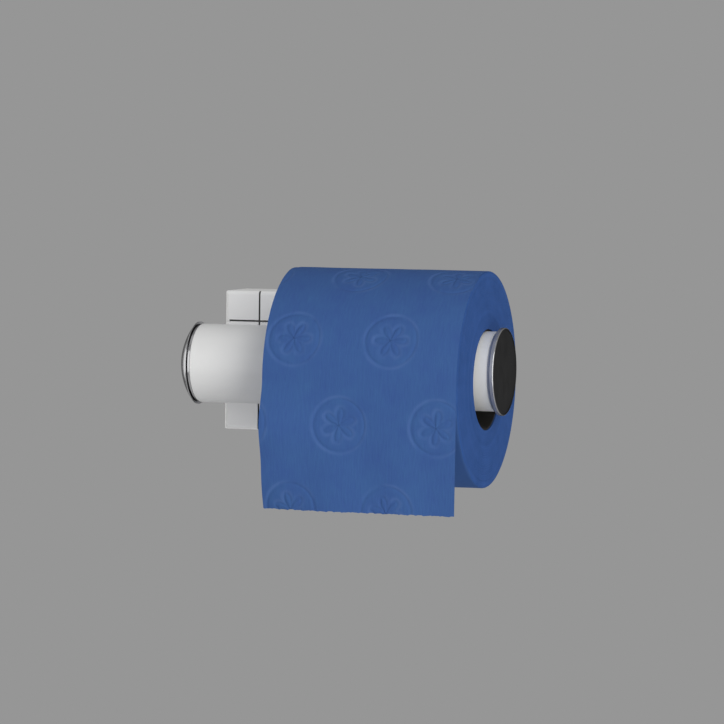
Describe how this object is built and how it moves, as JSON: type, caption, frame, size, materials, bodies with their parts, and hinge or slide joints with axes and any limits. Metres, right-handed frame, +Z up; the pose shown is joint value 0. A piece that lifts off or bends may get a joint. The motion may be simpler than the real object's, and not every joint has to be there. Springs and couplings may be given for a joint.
{
  "type": "toilet roll holder",
  "caption": "Wall-mounted toilet roll holder: a thick white bar with chrome ends on a moulded bracket with clip-on screw covers, and a paper roll that turns and shifts on it.",
  "frame": {"origin": "centre of the bracket's back face, on the wall", "axes": "+X along the bar to the right, +Y into the wall, +Z up"},
  "size_m": [0.1699, 0.1191, 0.1183],
  "materials": {
    "steel": "zinc-plated steel",
    "white_moulding": "glossy white moulding",
    "white_coating": "glossy white coating",
    "aluminium": "plain aluminium",
    "chrome": "polished chrome",
    "rubber": "black rubber",
    "cardboard": "grey-brown cardboard",
    "blue_paper": "soft blue tissue with a faint embossed pattern"
  },
  "bodies": {
    "holder": {"wall_plate": "steel", "housing": "white_moulding", "cover_top_left": "white_moulding", "cover_top_right": "white_moulding", "cover_bottom_left": "white_moulding", "cover_bottom_right": "white_moulding", "spacer_sleeves": "aluminium", "bar_bolts": "steel", "bar_tube": "white_coating", "bar_insert": "aluminium", "plug_left": "chrome", "plug_right": "chrome", "ring_left": "rubber", "ring_right": "rubber", "disc_left": "chrome", "disc_right": "chrome"},
    "loose_end": {"paper_tail": "blue_paper"},
    "roll": {"roll_core": "cardboard", "paper_roll": "blue_paper"}
  },
  "joints": [
    {"name": "roll_slide", "type": "slide", "parent": "holder", "child": "loose_end", "axis": [1, 0, 0], "range_m": [-0.0135, 0.0064]},
    {"name": "roll_spin", "type": "hinge", "parent": "loose_end", "child": "roll", "pos_m": [0.0826, -0.064, -0.0042], "axis": [1, 0, 0], "continuous": true}
  ]
}
